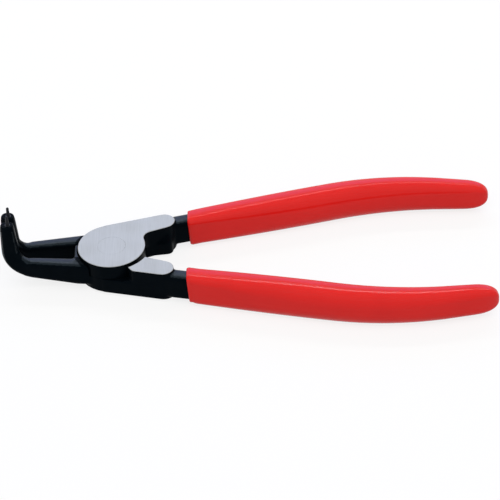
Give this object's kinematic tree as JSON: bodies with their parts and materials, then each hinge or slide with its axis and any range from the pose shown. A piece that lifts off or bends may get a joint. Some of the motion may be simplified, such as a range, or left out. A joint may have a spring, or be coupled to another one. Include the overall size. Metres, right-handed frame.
{
  "type": "circlip pliers",
  "caption": "Circlip pliers for shafts: black forged levers on a riveted lap joint with bright ground faces, tips bent square, and dipped red handle grips.",
  "frame": {"origin": "on the rivet axis, in the ground rear face of the joint", "axes": "+X from the jaws to the handle ends along the middle of the tool, +Z out of the front joint face, the way the bent tips point"},
  "size_m": [0.1691, 0.0708, 0.0284],
  "materials": {
    "forging": "forged tool steel, blackened, with the joint faces ground bright",
    "rivet": "steel, ground flush with the joint faces",
    "spring": "drawn spring wire",
    "tip": "hardened wire, blackened",
    "grip": "dipped red plastic, smooth and glossy"
  },
  "bodies": {
    "back_half": {"back_lever": "forging", "back_grip": "grip", "back_tip": "tip", "joint_rivet": "rivet", "return_spring": "spring"},
    "front_half": {"front_lever": "forging", "front_grip": "grip", "front_tip": "tip"}
  },
  "joints": [
    {"name": "squeeze", "type": "hinge", "parent": "back_half", "child": "front_half", "pos_m": [0, 0, 0.0056], "axis": [0, 0, -1], "range_deg": [0, 20], "stiffness_Nm_per_rad": 0.8, "springref_deg": -28.65, "deforming": ["return_spring"]}
  ]
}
